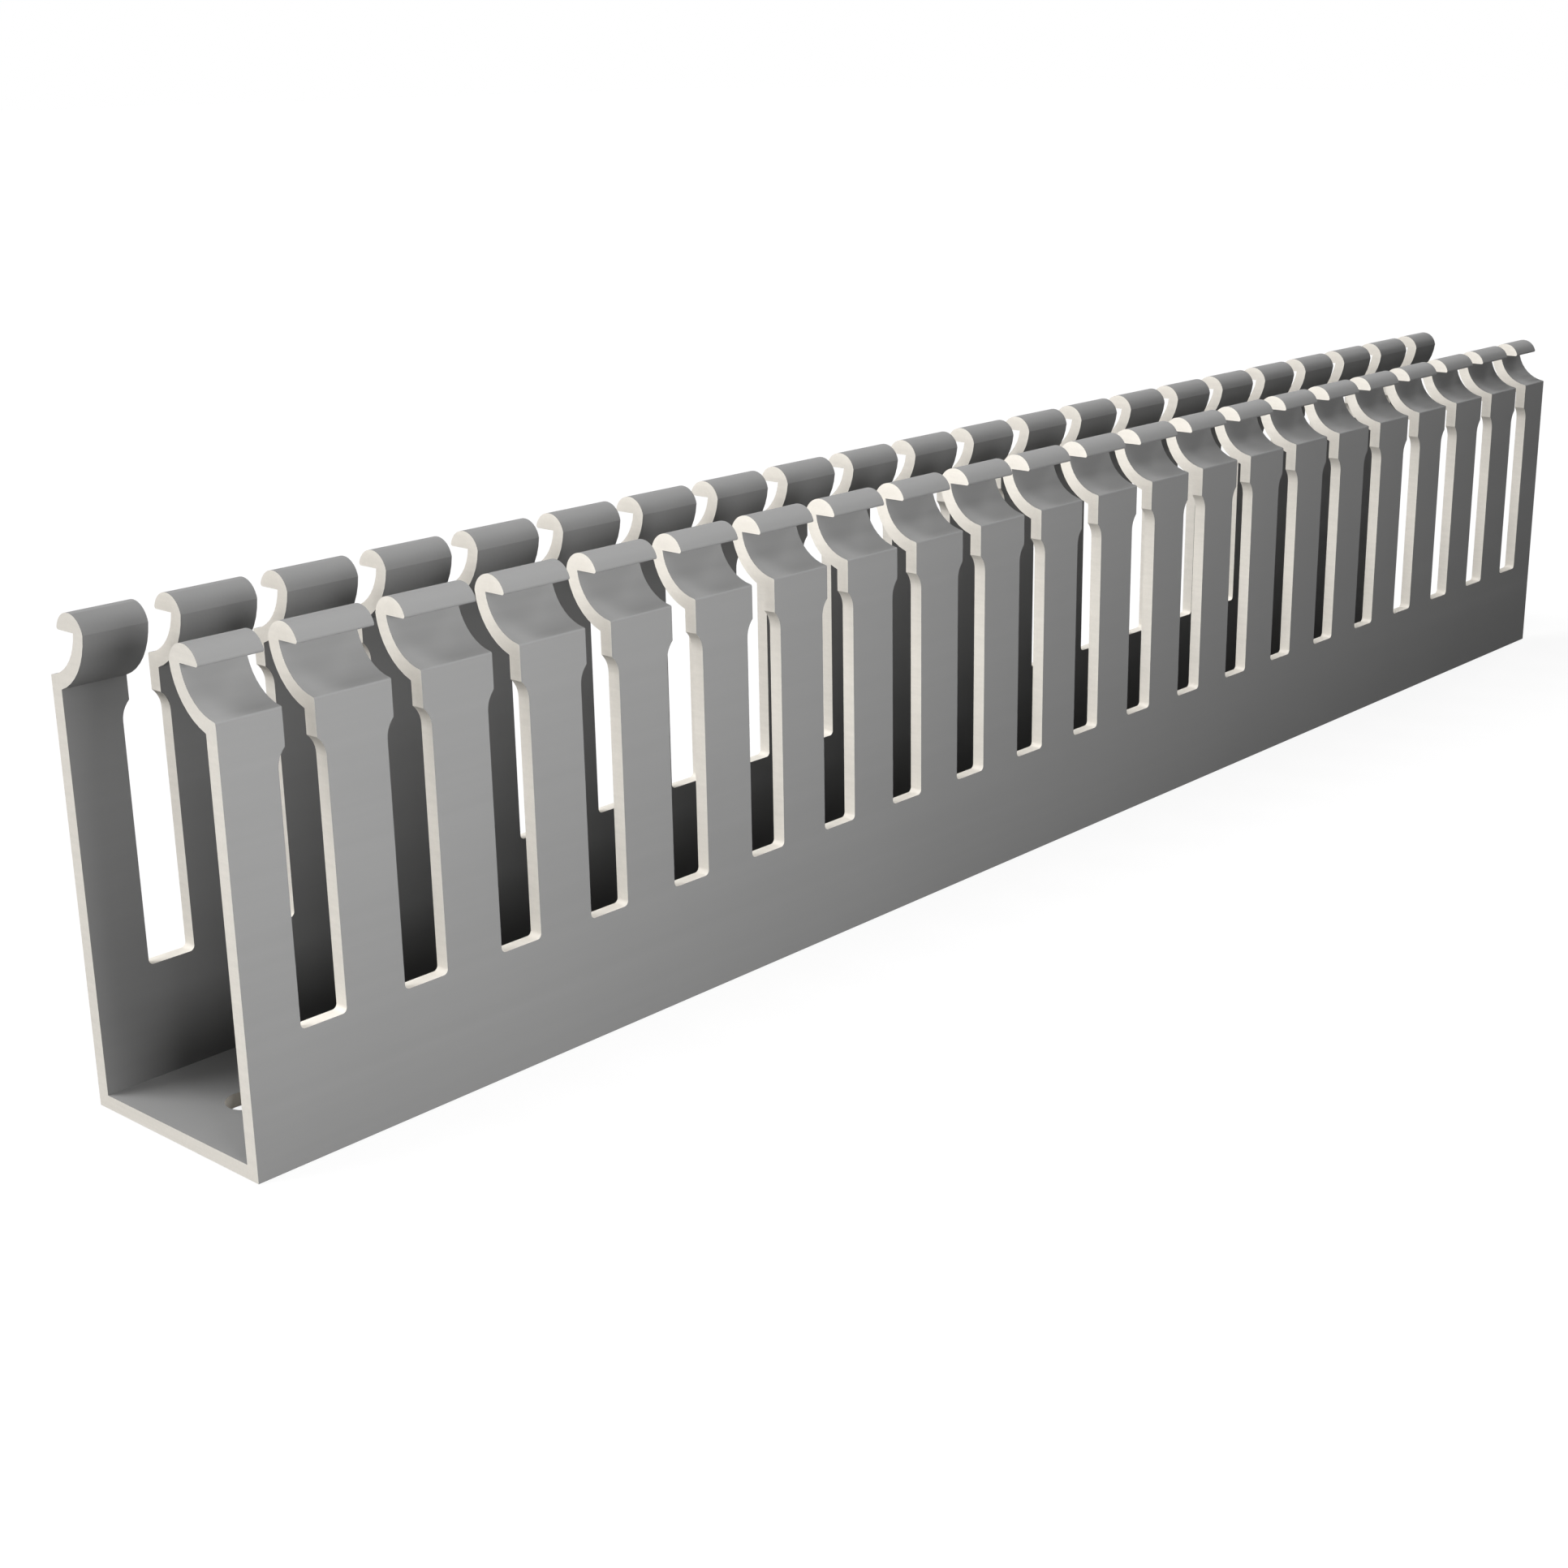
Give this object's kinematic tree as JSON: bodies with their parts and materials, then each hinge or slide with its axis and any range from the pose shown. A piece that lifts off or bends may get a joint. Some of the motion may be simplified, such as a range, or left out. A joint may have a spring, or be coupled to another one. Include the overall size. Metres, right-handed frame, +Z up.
{
  "type": "slotted wiring duct",
  "caption": "Straight length of slotted wiring duct: a U-shaped channel with finger slots in both walls, outward hooks for a clip-on cover on bent-in tops, and screw holes in its floor.",
  "frame": {"origin": "middle of the underside of the floor", "axes": "+X along the duct, +Y across it, +Z up out of the open side"},
  "size_m": [0.2676, 0.0268, 0.0518],
  "materials": {
    "duct_pvc": "satin grey extruded rigid PVC, with paler matte cut faces at the ends and in the slots"
  },
  "bodies": {
    "root": {"duct_channel": "duct_pvc"}
  },
  "joints": []
}
